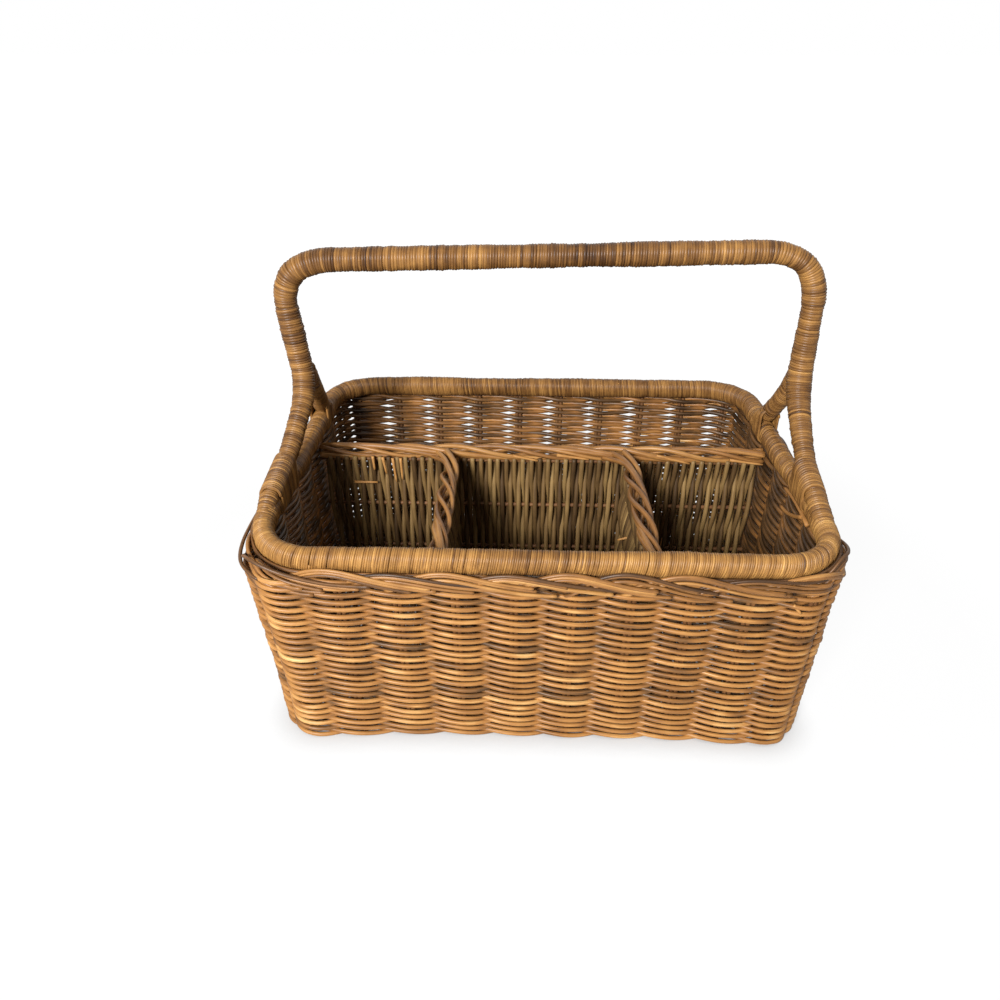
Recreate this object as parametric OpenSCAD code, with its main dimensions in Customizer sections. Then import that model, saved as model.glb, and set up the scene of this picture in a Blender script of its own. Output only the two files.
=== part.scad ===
/* [Basket] */
// Half width of the basket, to the middle of the rim
rim_half_w = 175.5; // [150:0.5:210]
// Half depth of the basket, to the middle of the rim
rim_half_d = 135.5; // [120:0.5:160]
// Height of the middle of the rim
rim_h = 153; // [130:1:180]
// Corner radius of the rim in plan, to its middle
rim_corner_r = 38; // [34:1:46]
// Corner radius of the walls in plan, to the middle of the wall
wall_corner_r = 24; // [20:1:30]
// Distance by which the walls stand outside the middle of the rim
wall_offset = 2.9; // [1:0.1:4]
// Outward lean of the side walls in degrees
side_lean = 2.3; // [0:0.1:4]
// Outward lean of the front and back walls in degrees
front_lean = 6; // [0:0.1:8]

/* [Wall weave] */
// Diameter of one stake rod, two of which stand side by side
stake_d = 2.8; // [2.2:0.1:3.4]
// Thickness of the weaving reed
reed_d = 3; // [2.2:0.1:3.1]
// Height from one row of weaving to the next
row_pitch = 3.4; // [3.3:0.1:4]
// Distance from the middle of the rim down to the top of the weaving
weave_drop = 23.5; // [23:0.5:50]
// Distance between stakes along the front and back walls
front_pitch = 35.8; // [28:0.1:38]
// Distance between stakes along the side walls
side_pitch = 38; // [30:0.1:39]
// Room between reed and stake
weave_gap = 0.25; // [0.15:0.05:0.4]

/* [Base] */
// Diameter of the base sticks
base_stick_d = 4; // [3:0.1:6]
// Thickness of the base weaving rods
base_reed_d = 3.6; // [2.4:0.1:4]
// Distance from one base weaving rod to the next
base_reed_pitch = 6; // [4.2:0.1:7]
// Distance between base sticks
base_stick_pitch = 44; // [36:1:60]
// Room between the base and the floor
foot_gap = 0.4; // [0.2:0.1:1]

/* [Dividers] */
// Place of the long divider behind the middle
divider_y = 39; // [20:1:60]
// Distance of each cross divider from the middle
cross_x = 68; // [45:1:90]
// Top of the divider weaving
divider_top = 134; // [100:1:138]
// Diameter of the horizontal divider stakes
divider_stake_d = 3.2; // [2.4:0.1:4]
// Distance between the horizontal divider stakes
divider_stake_pitch = 40; // [30:1:44]
// Thickness of the upright divider reeds
divider_reed_d = 3; // [2.4:0.1:3.4]
// Distance from one upright divider reed to the next
divider_reed_pitch = 4; // [3.6:0.1:6]
// Diameter of the rods lying along the divider tops
divider_border_d = 3.2; // [2.4:0.1:4]

/* [Border] */
// Diameter of the border rods
border_d = 3.2; // [2.4:0.1:3.4]
// Rise of each border rod from its ends to its crest
border_rise = 5; // [3:0.5:5]
// Length of one border rod, counted in stake pitches
border_reach = 2.2; // [1.6:0.1:2.6]

/* [Rim and handle] */
// Thickness of the wrapped rim, from the inside to the outside
rim_wide = 14.5; // [13:0.5:17]
// Height of the wrapped rim
rim_tall = 18; // [17:0.5:20]
// Diameter of the rod inside the rim
rim_rod_d = 10; // [8:0.5:11]
// Diameter of the wrapped handle
handle_d = 17; // [14:0.5:20]
// Diameter of the rod inside the handle
handle_rod_d = 11; // [8:0.5:12]
// Diameter of the wrapped legs under the handle
leg_d = 14.6; // [12:0.2:16]
// Height of the middle of the handle at its left end
handle_left_h = 291; // [250:1:320]
// Height of the middle of the handle at its right end
handle_right_h = 298; // [250:1:320]
// Half width of the handle at its bends
handle_half_w = 178; // [150:1:200]
// Radius of the handle bends, to the middle of the rod
bend_r = 27; // [20:1:40]
// Place of the handle behind the middle
handle_y = 13; // [0:1:25]
// Height at which each handle end forks into two legs
fork_h = 203; // [190:1:215]
// Distance by which the left fork stands in from the handle's bend
left_draw = 10; // [0:1:14]
// Distance by which the right fork stands in from the handle's bend
right_draw = 0; // [0:1:14]
// Distance along the rim from the middle to the toe of a leg
toe_y = 74; // [68:1:84]

/* [Windings] */
// Distance from one raised turn of the rim's winding to the next
rim_turn_pitch = 6; // [5:0.5:9]
// Distance from one raised turn of the handle's winding to the next
handle_turn_pitch = 4.2; // [3.6:0.1:7]
// Depth of the grooves between the turns of a winding
turn_depth = 1.2; // [0.6:0.1:1.3]

/* [Lashings] */
// Diameter of the lashing cane
cane_d = 2.2; // [1.6:0.1:2.4]
// Turns in each lashing
lash_turns = 3; // [3:1:6]
// Distance from one lashing turn to the next
lash_pitch = 4.4; // [3.2:0.1:4.6]

/* [Hidden] */
$fn = 48;

// Colours of the reed, the shaded inner work and the glossy wrapping cane
reed_colour = [0.72, 0.50, 0.27];
stake_colour = [0.52, 0.35, 0.18];
inner_colour = [0.45, 0.34, 0.20];
cane_colour = [0.78, 0.58, 0.34];

// Clearance between pieces that seat on each other
seat = 0.3;
// Walls count round the basket: 0 front, 1 right, 2 back, 3 left
LONG_STAKES = 8;
SIDE_STAKES = 5;
CORNER_STAKES = 2;
corner_angles = [22, 68];
reed_shift = stake_d / 2 + weave_gap + reed_d / 2;
wall_half_t = reed_shift + reed_d / 2;
// Half the length for which a reed lies flat on a stake pair
reed_flat = stake_d + seat;
// Half the angle for which a reed lies flat on a corner stake pair
corner_flat = reed_flat / wall_corner_r * 180 / PI;
rows = floor((rim_h - weave_drop - reed_d) / row_pitch) + 1;
stake_top = rim_h - rim_tall / 2 - seat;
stake_foot = foot_gap;
// Share by which the stakes draw together towards the base
fan = 0.03;

function half_w(z) = rim_half_w + wall_offset - (rim_h - z) * tan(side_lean);
function half_d(z) = rim_half_d + wall_offset - (rim_h - z) * tan(front_lean);
function is_long(wall) = wall % 2 == 0;
function wall_out(wall, z) = is_long(wall) ? half_d(z) : half_w(z);
function wall_run(wall, z) = (is_long(wall) ? half_w(z) : half_d(z)) - wall_corner_r;
function stakes_on(wall) = is_long(wall) ? LONG_STAKES : SIDE_STAKES;
function stake_u(wall, k, z) =
    (k - (stakes_on(wall) - 1) / 2) * (is_long(wall) ? front_pitch : side_pitch)
    * (1 - fan * (rim_h - z) / rim_h);
// Running number of a wall's first stake, counted round the whole basket
function first_stake(wall) =
    floor((wall + 1) / 2) * (LONG_STAKES + CORNER_STAKES) + floor(wall / 2) * (SIDE_STAKES + CORNER_STAKES);
// A reed passes outside and inside the stakes by turns, and each row opposes the one below
function side_of(stake, row) = (stake + row) % 2 == 0 ? 1 : -1;

// A round rod between two points
module rod(a, b, d) {
    run = b - a;
    translate(a)
        rotate([0, acos(run.z / norm(run)), atan2(run.y, run.x)])
            cylinder(d = d, h = norm(run));
}

// A reed of square section along a chain of points in plan
module reed_band(points, thick, high) {
    out = [for (p = points) [p.x, p.y - thick / 2]];
    back = [for (i = [len(points) - 1 : -1 : 0]) [points[i].x, points[i].y + thick / 2]];
    linear_extrude(high) polygon(concat(out, back));
}

// Upright stakes of one wall, a pair of rods at each place
module wall_stakes(wall) {
    color(stake_colour)
        rotate([0, 0, 90 * wall])
            for (k = [0 : stakes_on(wall) - 1], side = [-1, 1]) {
                off = side * (stake_d + seat / 2) / 2;
                rod([stake_u(wall, k, stake_foot) + off, -wall_out(wall, stake_foot), stake_foot],
                    [stake_u(wall, k, stake_top) + off, -wall_out(wall, stake_top), stake_top], stake_d);
            }
}

function corner_point(wall, z, angle, radius) =
    [wall_run(wall, z) + radius * sin(angle), -(wall_out(wall, z) - wall_corner_r) - radius * cos(angle)];

// Upright stakes in the four rounded corners
module corner_stakes() {
    color(stake_colour)
        for (wall = [0 : 3], angle = corner_angles, side = [-1, 1])
            rotate([0, 0, 90 * wall]) {
                turn = angle + side * (stake_d + seat / 2) / 2 / wall_corner_r * 180 / PI;
                foot = corner_point(wall, stake_foot, turn, wall_corner_r);
                head = corner_point(wall, stake_top, turn, wall_corner_r);
                rod([foot.x, foot.y, stake_foot], [head.x, head.y, stake_top], stake_d);
            }
}

// Rows of reed on one wall, passing outside and inside its stakes by turns
module wall_weave(wall) {
    color(reed_colour)
        rotate([0, 0, 90 * wall])
            for (row = [0 : rows - 1]) {
                z = row * row_pitch;
                mid = z + reed_d / 2;
                run = wall_run(wall, mid);
                crests = [
                    for (k = [0 : stakes_on(wall) - 1], end = [-1, 1])
                        [stake_u(wall, k, mid) + end * reed_flat,
                         -reed_shift * side_of(first_stake(wall) + k, row)]
                ];
                translate([0, -wall_out(wall, mid), z])
                    reed_band(concat([[-run, 0]], crests, [[run, 0]]), reed_d, reed_d);
            }
}

// Rows of reed round one corner, on from the wall before it
module corner_weave(wall) {
    first = first_stake(wall) + stakes_on(wall);
    color(reed_colour)
        rotate([0, 0, 90 * wall])
            for (row = [0 : rows - 1]) {
                z = row * row_pitch;
                mid = z + reed_d / 2;
                bends = concat(
                    [[0, 0]],
                    [for (k = [0 : CORNER_STAKES - 1], end = [-1 : 1])
                        [corner_angles[k] + end * corner_flat, reed_shift * side_of(first + k, row)]],
                    [[90, 0]]
                );
                out = [for (b = bends) corner_point(wall, mid, b[0], wall_corner_r + b[1] + reed_d / 2)];
                inn = [for (i = [len(bends) - 1 : -1 : 0])
                    corner_point(wall, mid, bends[i][0], wall_corner_r + bends[i][1] - reed_d / 2)];
                translate([0, 0, z]) linear_extrude(reed_d) polygon(concat(out, inn));
            }
}

// Base sticks along the width, and the rods woven across them
base_half_t = base_stick_d / 2 + weave_gap + base_reed_d;
base_mid = foot_gap + base_half_t;
base_top = base_mid + base_half_t;
base_shift = base_half_t - base_reed_d / 2;
base_half_w = half_w(0) - wall_half_t - seat;
base_half_d = half_d(0) - wall_half_t - seat;
base_corner_r = wall_corner_r - wall_half_t - seat;
// Half the length for which a base rod lies flat on a stick
base_flat = base_stick_d / 2 + weave_gap;
base_sticks_n = 2 * floor((base_half_d - base_stick_d) / base_stick_pitch) + 1;
base_reeds_n = 2 * floor((base_half_w - base_reed_d) / base_reed_pitch) + 1;

// How far the base reaches at a distance from its middle, inside the rounded corners
function base_reach(u, along, across) =
    across - base_corner_r
    + (abs(u) > along - base_corner_r
        ? sqrt(base_corner_r * base_corner_r - pow(abs(u) - along + base_corner_r, 2)) : base_corner_r);

module base_sticks() {
    color(stake_colour)
        for (k = [0 : base_sticks_n - 1]) {
            y = (k - (base_sticks_n - 1) / 2) * base_stick_pitch;
            reach = base_reach(abs(y) + base_stick_d / 2, base_half_d, base_half_w);
            rod([-reach, y, base_mid], [reach, y, base_mid], base_stick_d);
        }
}

module base_weave() {
    color(reed_colour)
        for (k = [0 : base_reeds_n - 1]) {
            x = (k - (base_reeds_n - 1) / 2) * base_reed_pitch;
            reach = base_reach(abs(x) + base_reed_d / 2, base_half_w, base_half_d);
            crests = [
                for (s = [0 : base_sticks_n - 1], end = [-1, 1])
                    [(s - (base_sticks_n - 1) / 2) * base_stick_pitch + end * base_flat,
                     base_shift * side_of(s, k)]
            ];
            inside = [for (c = crests) if (abs(c.x) < reach - base_reed_d) c];
            translate([x - base_reed_d / 2, 0, base_mid])
                rotate([90, 0, 90])
                    reed_band(concat([[-reach, 0]], inside, [[reach, 0]]), base_reed_d, base_reed_d);
        }
}

// Dividers: horizontal stakes, upright reeds woven past them, and rods lying along the top
divider_shift = divider_stake_d / 2 + weave_gap + divider_reed_d / 2;
divider_half_t = divider_shift + divider_reed_d / 2;
divider_foot = base_top + seat;
// Half the length for which an upright reed lies flat on a stake
divider_flat = divider_stake_d / 2 + weave_gap;
// A bend nearer than this to the end of a reed is left out
end_margin = 1;
divider_stakes_n = floor((divider_top - divider_foot - divider_stake_d) / divider_stake_pitch) + 1;
first_stake_z = divider_top - divider_stake_d - (divider_stakes_n - 1) * divider_stake_pitch;
border_low_z = divider_top + seat + divider_border_d / 2;
border_step = divider_border_d + seat;
border_high_z = border_low_z + border_step * sqrt(3) / 2 + seat;
cross_back = divider_y - divider_half_t - seat;

function inner_w(z) = half_w(z) - wall_half_t - seat;
function inner_d(z) = half_d(z) - wall_half_t - seat;
function divider_stake_z(k) = first_stake_z + k * divider_stake_pitch;

// One upright reed, leaning with the wall it stands beside
module divider_reed(phase, tilt) {
    crests = [
        for (k = [0 : divider_stakes_n - 1], end = [-1, 1])
            [divider_stake_z(k) - divider_foot + end * divider_flat,
             divider_shift * side_of(k, phase)]
    ];
    high = divider_top - divider_foot;
    foot = crests[0].x > end_margin ? [[0, 0]] : [];
    inside = [for (c = crests) if (c.x > end_margin && c.x < high - end_margin) c];
    rotate([0, tilt, 0])
        translate([-divider_reed_d / 2, 0, 0])
            rotate([0, -90, 180])
                reed_band(concat(foot, inside, [[high, inside[len(inside) - 1].y]]),
                          divider_reed_d, divider_reed_d);
}

module long_divider_stakes() {
    color(stake_colour)
        for (k = [0 : divider_stakes_n - 1]) {
            z = divider_stake_z(k);
            rod([-inner_w(z), divider_y, z], [inner_w(z), divider_y, z], divider_stake_d);
        }
}

module long_divider_weave() {
    last = inner_w(divider_foot) - divider_reed_d;
    count = floor(last / divider_reed_pitch);
    color(inner_colour)
        for (k = [-count : count])
            translate([k * divider_reed_pitch, divider_y, divider_foot])
                divider_reed(k + 2 * count, side_lean * k / count);
}

// Three rods in a bundle between two points, two below and one in the groove above
module border_bundle(a, b) {
    across = cross([0, 0, 1], b - a) / norm(b - a);
    for (side = [-1, 1])
        rod(a + across * side * border_step / 2, b + across * side * border_step / 2, divider_border_d);
    up = [0, 0, border_high_z - border_low_z];
    rod(a + up, b + up, divider_border_d);
}

module long_divider_border() {
    reach = inner_w(border_low_z);
    color(inner_colour)
        border_bundle([-reach, divider_y, border_low_z], [reach, divider_y, border_low_z]);
}

module cross_divider_stakes(x) {
    color(stake_colour)
        for (k = [0 : divider_stakes_n - 1]) {
            z = divider_stake_z(k);
            rod([x, -inner_d(z), z], [x, cross_back, z], divider_stake_d);
        }
}

module cross_divider_weave(x) {
    front = inner_d(divider_foot) - divider_reed_d;
    back = cross_back - divider_reed_d / 2;
    count = floor((front + back) / divider_reed_pitch);
    color(inner_colour)
        for (k = [0 : count])
            translate([x, back - k * divider_reed_pitch, divider_foot])
                rotate([0, 0, -90])
                    divider_reed(k, front_lean * k / count);
}

module cross_divider_border(x) {
    front = [x, -inner_d(border_low_z), border_low_z];
    back = [x, divider_y - border_step / 2 - divider_border_d / 2 - seat, border_low_z];
    color(inner_colour) border_bundle(front, back);
}

module left_divider_stakes() cross_divider_stakes(-cross_x);
module left_divider_weave() cross_divider_weave(-cross_x);
module left_divider_border() cross_divider_border(-cross_x);
module right_divider_stakes() cross_divider_stakes(cross_x);
module right_divider_weave() cross_divider_weave(cross_x);
module right_divider_border() cross_divider_border(cross_x);

// Border: the stakes' tails arch along the wall in pairs, outside the tails that follow them
BORDER_RODS = 2;
border_start = stake_d / 2 + seat + border_d / 2;
border_step_out = border_d + seat;
weave_head = (rows - 1) * row_pitch + reed_d;
border_foot_z = weave_head + seat / 2 + border_d / 2;
border_head_z = border_foot_z + (BORDER_RODS - 1) * border_step_out;

module border_arch(chord, out_step) {
    turn = atan(out_step);
    length = chord / cos(turn);
    radius = (length * length / 4 + border_rise * border_rise) / (2 * border_rise);
    half = asin(length / 2 / radius);
    rotate([0, 0, -turn])
        translate([length / 2, 0, border_rise - radius])
            rotate([90, 0, 0])
                rotate([0, 0, 90 - half])
                    rotate_extrude(angle = 2 * half, $fn = 180)
                        translate([radius, 0]) circle(d = border_d, $fn = 24);
}

module wall_border(wall) {
    pitch = is_long(wall) ? front_pitch : side_pitch;
    chord = border_reach * pitch;
    run = wall_run(wall, border_foot_z);
    count = floor((2 * run - chord) / pitch);
    start = -(count * pitch + chord) / 2;
    color(reed_colour)
        rotate([0, 0, 90 * wall])
            for (k = [0 : count], layer = [0 : BORDER_RODS - 1]) {
                z = border_foot_z + layer * border_step_out;
                translate([start + k * pitch, -wall_out(wall, border_head_z) - border_start, z])
                    border_arch(chord, border_step_out / pitch);
            }
}

// Loops of border rod that stand out round the corners
CORNER_LOOPS = 3;
module corner_border_loops() {
    rise = border_rise / CORNER_LOOPS / 2;
    spread = sqrt(border_step_out * border_step_out - rise * rise);
    color(reed_colour)
        for (wall = [0 : 3], k = [0 : CORNER_LOOPS - 1], layer = [0 : BORDER_RODS - 1]) {
            z = border_foot_z + layer * border_step_out;
            rotate([0, 0, 90 * wall])
                translate([wall_run(wall, z), -(wall_out(wall, z) - wall_corner_r),
                           z + (CORNER_LOOPS - 1 - k) * rise])
                    rotate([0, 0, -90])
                        rotate_extrude(angle = 90, $fn = 96)
                            translate([wall_corner_r + border_start + k * spread, 0])
                                circle(d = border_d, $fn = 24);
        }
}

// A tube of round section swept along points, closed on itself or with two flat ends
function ring(at, out, up, r, sides) =
    [for (s = [0 : sides - 1]) at + r * (cos(360 * s / sides) * out + sin(360 * s / sides) * up)];

module sweep(rings, closed) {
    n = len(rings);
    sides = len(rings[0]);
    last = closed ? n - 1 : n - 2;
    quads = [
        for (i = [0 : last], s = [0 : sides - 1]) let (
            j = (i + 1) % n,
            t = (s + 1) % sides,
            a = i * sides + s, b = i * sides + t, c = j * sides + t, d = j * sides + s
        ) each [[a, b, c], [a, c, d]]
    ];
    lids = closed ? [] : [
        [for (s = [sides - 1 : -1 : 0]) s],
        [for (s = [0 : sides - 1]) (n - 1) * sides + s]
    ];
    polyhedron([for (r = rings) each r], concat(quads, lids));
}

// Windings: cane turns that stand up as ridges, with a groove between one and the next

// Edge of a winding from its start to its end, as places along it and distances from its middle
function turns_edge(length, pitch, r) =
    let (count = max(1, round(length / pitch)), step = length / count)
        concat([for (i = [0 : count - 1]) each [[i * step, r - turn_depth], [(i + 0.5) * step, r]]],
               [[length, r - turn_depth]]);

// Half of a winding's lengthwise section, to be turned about its middle
module turns_profile(length, pitch, r) {
    edge = [for (p = turns_edge(length, pitch, r)) [p.y, p.x]];
    polygon(concat([[0, 0]], edge, [[0, length]]));
}

// A straight round winding between two points
module wound_rod(a, b, d) {
    run = b - a;
    translate(a)
        rotate([0, acos(run.z / norm(run)), atan2(run.y, run.x)])
            rotate_extrude() turns_profile(norm(run), handle_turn_pitch, d / 2);
}

// Share of its length by which a bore passes each end of its sleeve
bore_over = 0.01;
// Share of the pitch that a groove takes in a bent winding
groove_share = 0.3;

// Grooves across a bend, each swept from the flat ring that it cuts out
module bent_grooves(radius, angle, pitch) {
    count = round(angle * PI / 180 * radius / pitch);
    step = angle / count;
    for (k = [1 : count - 1])
        rotate([0, 0, (k - groove_share / 2) * step])
            rotate_extrude(angle = groove_share * step, $fn = 360)
                translate([radius, 0]) children();
}

// Rim: a bent rod under a close winding of cane, taller than it is wide
ROD_SIDES = 8;
CORNER_RINGS = 6;
rim_bore = rim_rod_d + seat;
function rim_run(wall) = (is_long(wall) ? rim_half_w : rim_half_d) - rim_corner_r;
function rim_out(wall) = is_long(wall) ? rim_half_d : rim_half_w;

module rim_rod() {
    rings = [
        for (wall = [0 : 3], k = [0 : CORNER_RINGS]) let (
            spin = 90 * wall,
            facing = 90 * k / CORNER_RINGS + spin - 90,
            out = [cos(facing), sin(facing), 0],
            x = rim_run(wall),
            y = rim_corner_r - rim_out(wall),
            heart = [x * cos(spin) - y * sin(spin), x * sin(spin) + y * cos(spin), rim_h]
        ) ring(heart + rim_corner_r * out, out, [0, 0, -1], rim_rod_d / 2, ROD_SIDES)
    ];
    color(stake_colour) sweep(rings, true);
}

// Straight part in the middle of the rim's section, from its half height up and down
rim_straight = (rim_tall - rim_wide) / 2;

// Outline of the wound rim, wider all round by some room
module rim_outline(room) {
    square([rim_wide + 2 * room, 2 * rim_straight], center = true);
    for (side = [-1, 1])
        translate([0, side * rim_straight]) circle(d = rim_wide + 2 * room);
}

// One straight side of the rim: half round ridges above and below a straight ridged middle
module wound_rim(length) {
    edge = turns_edge(length, rim_turn_pitch, rim_wide / 2);
    near = [for (p = edge) [p.y, p.x]];
    far = [for (i = [len(edge) - 1 : -1 : 0]) [-edge[i].y, edge[i].x]];
    difference() {
        union() {
            for (side = [0, 180])
                rotate([0, 0, side])
                    translate([0, rim_straight, 0])
                        rotate_extrude(angle = 180) turns_profile(length, rim_turn_pitch, rim_wide / 2);
            translate([0, rim_straight, 0])
                rotate([90, 0, 0])
                    linear_extrude(2 * rim_straight) polygon(concat(near, far));
        }
        translate([0, 0, -length * bore_over])
            cylinder(d = rim_bore, h = length * (1 + 2 * bore_over));
    }
}

module rim_wrap() {
    color(cane_colour)
        for (wall = [0 : 3])
            rotate([0, 0, 90 * wall])
                translate([-rim_run(wall), -rim_out(wall), rim_h])
                    rotate([90, 0, 90])
                        wound_rim(2 * rim_run(wall));
}

module rim_corner_wrap() {
    color(cane_colour)
        for (wall = [0 : 3])
            rotate([0, 0, 90 * wall])
                translate([rim_run(wall), rim_corner_r - rim_out(wall), rim_h])
                    rotate([0, 0, -90])
                        difference() {
                            rotate_extrude(angle = 90, $fn = 120)
                                translate([rim_corner_r, 0])
                                    difference() {
                                        rim_outline(0);
                                        circle(d = rim_bore);
                                    }
                            bent_grooves(rim_corner_r, 90, rim_turn_pitch)
                                difference() {
                                    rim_outline(seat);
                                    rim_outline(-turn_depth);
                                }
                        }
}

module sleeve(a, b, d, bore) {
    difference() {
        wound_rod(a, b, d);
        rod(a - (b - a) * bore_over, b + (b - a) * bore_over, bore);
    }
}

module bent_sleeve(radius, angle, d, bore) {
    difference() {
        rotate_extrude(angle = angle, $fn = 120)
            translate([radius, 0])
                difference() {
                    circle(d = d);
                    circle(d = bore);
                }
        bent_grooves(radius, angle, handle_turn_pitch)
            difference() {
                circle(d = d + 2 * seat);
                circle(d = d - 2 * turn_depth);
            }
    }
}

// Handle: corner points of the bow from the left fork to the right fork
function fork_x(side) = side * (handle_half_w - (side < 0 ? left_draw : right_draw));
bow = [
    [fork_x(-1), handle_y, fork_h],
    [-handle_half_w, handle_y, handle_left_h],
    [handle_half_w, handle_y, handle_right_h],
    [fork_x(1), handle_y, fork_h]
];
function unit(v) = v / norm(v);
// Turn of the bow at one of its two bends, and the length that the bend takes from each side
function bow_turn(i) = acos(unit(bow[i] - bow[i - 1]) * unit(bow[i + 1] - bow[i]));
function bend_cut(i) = bend_r * tan(bow_turn(i) / 2);
function bend_from(i) = bow[i] - unit(bow[i] - bow[i - 1]) * bend_cut(i);
function bend_to(i) = bow[i] + unit(bow[i + 1] - bow[i]) * bend_cut(i);
function bend_heart(i) = bend_from(i) + bend_r * cross(unit(bow[i] - bow[i - 1]), [0, -1, 0]);
handle_bore = handle_rod_d + seat;

BEND_RINGS = 8;
module handle_rod() {
    ends = [bow[0], bow[3]];
    arcs = [
        for (i = [1, 2], k = [0 : BEND_RINGS]) let (
            spoke = bend_from(i) - bend_heart(i),
            a = bow_turn(i) * k / BEND_RINGS,
            out = cos(a) * spoke + sin(a) * cross([0, 1, 0], spoke)
        ) [bend_heart(i) + out, unit(out)]
    ];
    first = [ends[0], arcs[0][1]];
    last = [ends[1], arcs[len(arcs) - 1][1]];
    rings = [for (p = concat([first], arcs, [last])) ring(p[0], p[1], [0, 1, 0], handle_rod_d / 2, ROD_SIDES)];
    color(stake_colour) sweep(rings, false);
}

module handle_top_wrap() {
    color(cane_colour) sleeve(bend_to(1), bend_from(2), handle_d, handle_bore);
}

module handle_bend_wraps() {
    color(cane_colour)
        for (i = [1, 2]) {
            spoke = bend_from(i) - bend_heart(i);
            start = atan2(spoke.z, spoke.x);
            translate(bend_heart(i))
                rotate([90, 0, 0])
                    rotate([0, 0, start - bow_turn(i)])
                        bent_sleeve(bend_r, bow_turn(i), handle_d, handle_bore);
        }
}

module handle_upright_wraps() {
    color(cane_colour) {
        sleeve(bow[0], bend_from(1), handle_d, handle_bore);
        sleeve(bend_to(2), bow[3], handle_d, handle_bore);
    }
}

// Legs: from the fork down to a saddle on the rim, in front and behind
leg_top_h = fork_h - seat;
// Depth below the fork at which the middles of the two legs meet
leg_meet = leg_d / 4;
function leg_head(side) = [fork_x(side), handle_y, leg_top_h - leg_meet];
function leg_toe(side, end) = [side * rim_half_w, end * toe_y, rim_h];
// Half the upright thickness of a sloping leg
function leg_upright_r(side, end) =
    let (way = unit(leg_head(side) - leg_toe(side, end))) leg_d / 2 / abs(way.y);
// A leg's ridges start where it stands clear of the rim, and end a leg's width before the fork
function ridges_from(side, end) =
    let (toe = leg_toe(side, end), run = leg_head(side) - toe)
        toe + run * (rim_tall / 2 + 2 * seat + leg_upright_r(side, end)) / run.z;
function ridges_to(side, end) =
    let (head = leg_head(side)) head - unit(head - leg_toe(side, end)) * leg_d;

module leg(side, end) {
    head = leg_head(side);
    toe = leg_toe(side, end);
    way = unit(head - toe);
    room = 2 * leg_d;
    color(cane_colour)
        difference() {
            union() {
                rod(toe, ridges_from(side, end) + way * seat, leg_d);
                wound_rod(ridges_from(side, end), ridges_to(side, end), leg_d);
                rod(ridges_to(side, end) - way * seat, head + way * leg_d, leg_d);
            }
            translate([fork_x(side) - room, handle_y - room, leg_top_h]) cube(2 * room);
            translate([fork_x(side) - room, end > 0 ? handle_y - 2 * room + seat / 2 : handle_y - seat / 2,
                       leg_top_h - room])
                cube(2 * room);
            translate([side * rim_half_w, rim_half_d, rim_h])
                rotate([90, 0, 0])
                    linear_extrude(2 * rim_half_d) rim_outline(seat);
        }
}

module left_front_leg() leg(-1, -1);
module left_rear_leg() leg(-1, 1);
module right_front_leg() leg(1, -1);
module right_rear_leg() leg(1, 1);

// Lashings: cane wound round a leg's toe and the rim, between two stakes
LOOP_RINGS = 24;
LOOP_SIDES = 6;
lash_mid_y = (SIDE_STAKES - 2) / 2 * side_pitch;

// Middle of the leg over a place along the rim
function leg_at(side, end, y) =
    let (toe = leg_toe(side, end), head = leg_head(side))
        toe + (head - toe) * (y - toe.y) / (head.y - toe.y);

function lash_ring(side, end, i) =
    let (
        y = end * lash_mid_y + (i / LOOP_RINGS - lash_turns / 2) * lash_pitch,
        angle = 180 + 360 * (i + 0.5) / LOOP_RINGS,
        out = [cos(angle), 0, sin(angle)],
        leg_mid = leg_at(side, end, y),
        radius = sin(angle) < 0 ? rim_wide / 2 : max(leg_upright_r(side, end), rim_wide / 2),
        heart = sin(angle) < 0
            ? [side * rim_half_w, y, rim_h - rim_straight] : [leg_mid.x, y, max(leg_mid.z, rim_h + rim_straight)]
    ) [heart + (radius + 2 * seat + cane_d / 2) * out, out];
function lash_path(side, end) = [for (i = [0 : lash_turns * LOOP_RINGS]) lash_ring(side, end, i)];

// Least gap between one turn and the next, measured on the middle points
function lash_gap(path) =
    min([for (i = [0 : len(path) - LOOP_RINGS - 1], j = [-3 : 3])
        if (i + LOOP_RINGS + j < len(path)) norm(path[i + LOOP_RINGS + j][0] - path[i][0])]) - cane_d;

module lashing(side, end) {
    path = lash_path(side, end);
    echo(lashing = [side, end], least_gap = lash_gap(path));
    color(cane_colour)
        sweep([for (p = path) ring(p[0], p[1], [0, -1, 0], cane_d / 2, LOOP_SIDES)], false);
}

module left_front_lashing() lashing(-1, -1);
module left_rear_lashing() lashing(-1, 1);
module right_front_lashing() lashing(1, -1);
module right_rear_lashing() lashing(1, 1);

module front_stakes() wall_stakes(0);
module right_stakes() wall_stakes(1);
module back_stakes() wall_stakes(2);
module left_stakes() wall_stakes(3);
module front_weave() wall_weave(0);
module right_weave() wall_weave(1);
module back_weave() wall_weave(2);
module left_weave() wall_weave(3);
module front_right_corner_weave() corner_weave(0);
module back_right_corner_weave() corner_weave(1);
module back_left_corner_weave() corner_weave(2);
module front_left_corner_weave() corner_weave(3);
module front_border() wall_border(0);
module right_border() wall_border(1);
module back_border() wall_border(2);
module left_border() wall_border(3);

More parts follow.
